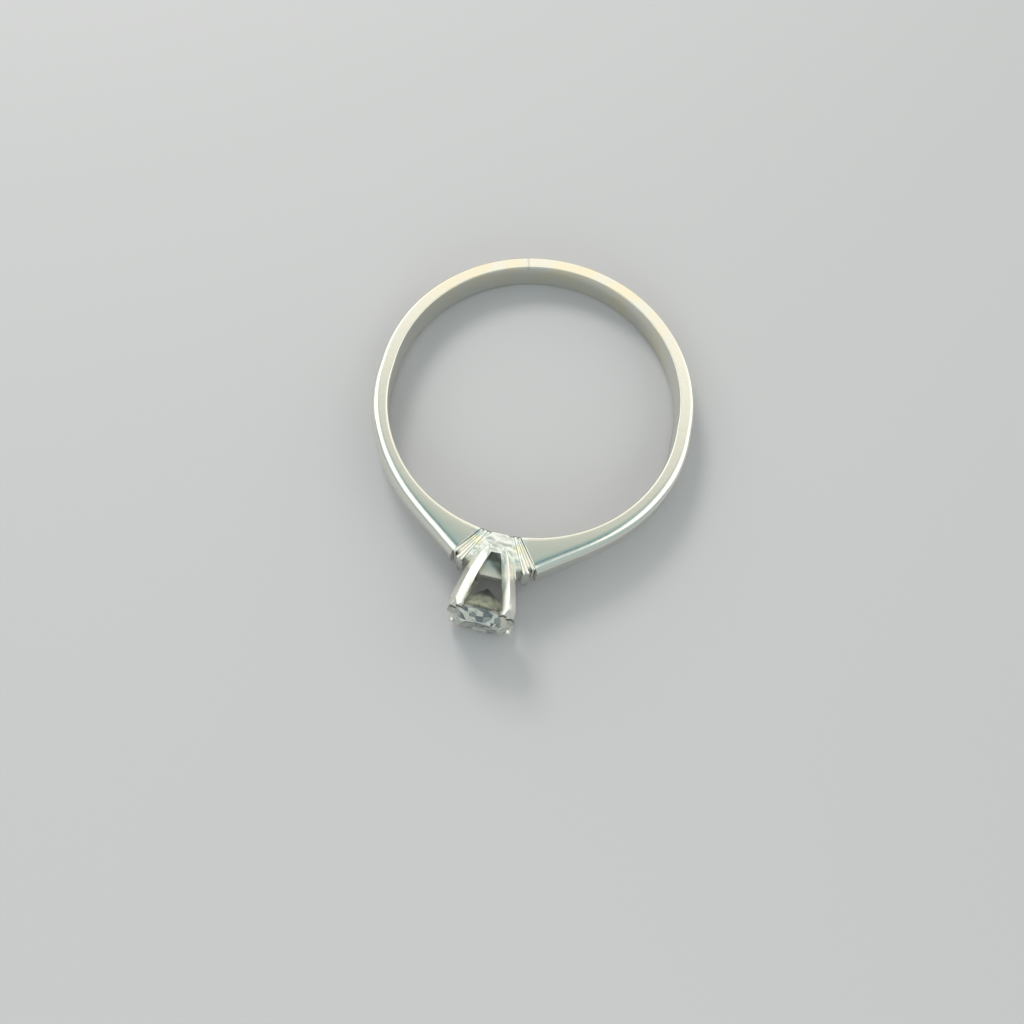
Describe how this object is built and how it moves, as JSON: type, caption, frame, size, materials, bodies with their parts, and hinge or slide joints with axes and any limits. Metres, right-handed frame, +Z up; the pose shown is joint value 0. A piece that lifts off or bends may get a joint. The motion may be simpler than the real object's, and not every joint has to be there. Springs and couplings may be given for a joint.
{
  "type": "solitaire ring",
  "caption": "Finger ring with a tapered shank, ridged shoulders and a V-shaped claw setting that holds one round faceted stone, lying on its side.",
  "frame": {"origin": "bottom centre of the ring's box as it lies on its side: on the surface it rests on, midway across and midway from the back of the shank to the stone's table", "axes": "+Z up from the surface that the ring lies on, about along the finger hole; -Y from the finger hole towards the setting and the stone; +X across the ring"},
  "size_m": [0.019, 0.024, 0.0039],
  "materials": {
    "white_gold": "polished white gold, with soft wear and a faint warm tint at the back of the shank",
    "clear_stone": "clear faceted round stone, polished"
  },
  "bodies": {
    "root": {"shank_and_setting": "white_gold", "stone": "clear_stone"}
  },
  "joints": []
}
